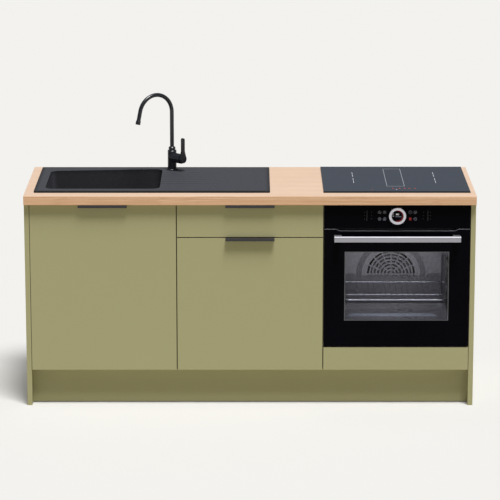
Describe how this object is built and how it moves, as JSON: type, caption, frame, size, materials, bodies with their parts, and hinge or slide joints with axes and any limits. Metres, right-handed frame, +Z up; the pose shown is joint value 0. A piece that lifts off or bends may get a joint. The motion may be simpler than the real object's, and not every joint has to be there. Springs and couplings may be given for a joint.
{
  "type": "kitchen base cabinet run",
  "caption": "Kitchen base cabinet run with sink door, drawers, built-in oven, wood-look worktop, inset sink, swan-neck mixer tap and glass hob.",
  "frame": {"origin": "middle of the footprint, on the floor", "axes": "+X to the right seen from the front, +Y to the wall behind, +Z up"},
  "size_m": [1.84, 0.628, 1.2315],
  "materials": {
    "olive_front": "matt olive-green lacquered board",
    "white_board": "white melamine board",
    "drawer_board": "light grey melamine board",
    "oak_worktop": "pale oak-look laminate, fine straight grain",
    "black_composite": "matt black granite composite",
    "tap_black": "satin black coating",
    "anthracite_pull": "matt anthracite powder coat",
    "hob_glass": "black glass-ceramic, printed marks",
    "oven_glass": "dark tinted glass",
    "clear_glass": "clear oven glass",
    "black_panel": "gloss black",
    "steel_sheet": "galvanised and brushed sheet steel",
    "brushed_bar": "brushed stainless steel",
    "grey_enamel": "grey speckled oven enamel",
    "black_frame": "black anodised frame",
    "wire_chrome": "chromed wire",
    "element_metal": "heat-darkened element sheath",
    "seal_rubber": "dark silicone seal",
    "grey_plastic": "dark grey moulded plastic",
    "white_plastic": "white pipe plastic"
  },
  "bodies": {
    "cabinet": {"left_end_panel": "olive_front", "right_end_panel": "olive_front", "carcass_sides": "white_board", "carcass_floors": "white_board", "carcass_rails": "white_board", "drawer_unit_back": "white_board", "oven_shelf": "white_board", "filler_panel": "olive_front", "plinth": "olive_front", "adjustable_legs": "grey_plastic", "plinth_clips": "grey_plastic", "worktop": "oak_worktop", "sink": "black_composite", "waste_body": "brushed_bar", "waste_trap": "white_plastic", "tap_body": "tap_black", "tap_mount": "brushed_bar", "hob_glass": "hob_glass", "hob_casing": "steel_sheet", "oven_covers": "steel_sheet", "oven_face_frame": "grey_enamel", "oven_cavity": "grey_enamel", "door_seal": "seal_rubber", "oven_hinge_brackets": "steel_sheet", "fan_baffle": "grey_enamel", "fan_motor": "steel_sheet", "heating_elements": "element_metal", "oven_lamp": "clear_glass", "shelf_ladders": "wire_chrome", "wire_rack": "wire_chrome", "baking_tray": "grey_enamel", "control_panel": "black_panel", "control_display": "black_panel", "hinge_arms": "steel_sheet", "runner_rails": "steel_sheet"},
    "sink_door_leaf": {"sink_door": "olive_front", "sink_door_pull": "anthracite_pull", "hinge_cups": "steel_sheet"},
    "upper_drawer": {"upper_drawer_front": "olive_front", "upper_drawer_pull": "anthracite_pull", "upper_drawer_box": "drawer_board", "upper_drawer_rails": "steel_sheet"},
    "upper_runner": {"upper_mid_rails": "steel_sheet"},
    "lower_drawer": {"lower_drawer_front": "olive_front", "lower_drawer_pull": "anthracite_pull", "lower_drawer_box": "drawer_board", "lower_drawer_rails": "steel_sheet"},
    "lower_runner": {"lower_mid_rails": "steel_sheet"},
    "oven_door": {"door_outer_glass": "oven_glass", "door_top_trim": "brushed_bar", "door_frame": "black_frame", "door_inner_glass": "clear_glass", "oven_handle": "brushed_bar"},
    "setting_ring": {"control_ring": "brushed_bar"},
    "fan_wheel": {"oven_fan": "brushed_bar"},
    "spout": {"tap_spout": "tap_black"},
    "mixer_cap": {"lever_cap": "tap_black"},
    "mixer_lever": {"tap_lever": "tap_black"},
    "strainer": {"strainer_basket": "brushed_bar"}
  },
  "joints": [
    {"name": "sink_door_hinge", "type": "hinge", "parent": "cabinet", "child": "sink_door_leaf", "pos_m": [-0.898, -0.266, 0.5], "axis": [0, 0, -1], "range_deg": [0, 105]},
    {"name": "upper_drawer_slide", "type": "slide", "parent": "cabinet", "child": "upper_drawer", "axis": [0, -1, 0], "range_m": [0, 0.45]},
    {"name": "upper_runner_slide", "type": "slide", "parent": "cabinet", "child": "upper_runner", "axis": [0, -1, 0], "range_m": [0, 0.225]},
    {"name": "lower_drawer_slide", "type": "slide", "parent": "cabinet", "child": "lower_drawer", "axis": [0, -1, 0], "range_m": [0, 0.45]},
    {"name": "lower_runner_slide", "type": "slide", "parent": "cabinet", "child": "lower_runner", "axis": [0, -1, 0], "range_m": [0, 0.225]},
    {"name": "oven_door_hinge", "type": "hinge", "parent": "cabinet", "child": "oven_door", "pos_m": [0.6, -0.256, 0.261], "axis": [1, 0, 0], "range_deg": [0, 90], "stiffness_Nm_per_rad": 8, "springref_deg": -17.19},
    {"name": "oven_ring_turn", "type": "hinge", "parent": "cabinet", "child": "setting_ring", "pos_m": [0.6, -0.273, 0.803], "axis": [0, -1, 0], "continuous": true},
    {"name": "oven_fan_spin", "type": "hinge", "parent": "cabinet", "child": "fan_wheel", "pos_m": [0.6, 0.184, 0.452], "axis": [0, -1, 0], "continuous": true},
    {"name": "spout_swivel", "type": "hinge", "parent": "cabinet", "child": "spout", "pos_m": [-0.33, 0.225, 0.97], "axis": [0, 0, 1], "continuous": true},
    {"name": "mixer_turn", "type": "hinge", "parent": "cabinet", "child": "mixer_cap", "pos_m": [-0.29464, 0.18965, 0.949], "axis": [0.7071, -0.7071, 0], "range_deg": [-50, 50]},
    {"name": "mixer_tilt", "type": "hinge", "parent": "mixer_cap", "child": "mixer_lever", "pos_m": [-0.28771, 0.18271, 0.9365], "axis": [0.7071, 0.7071, 0], "range_deg": [0, 25]},
    {"name": "strainer_lift", "type": "slide", "parent": "cabinet", "child": "strainer", "axis": [0, 0, 1], "range_m": [0, 0.12]}
  ],
  "couplings": [
    {"joint": "upper_runner_slide", "follows": "upper_drawer_slide", "ratio": 0.5},
    {"joint": "lower_runner_slide", "follows": "lower_drawer_slide", "ratio": 0.5}
  ]
}
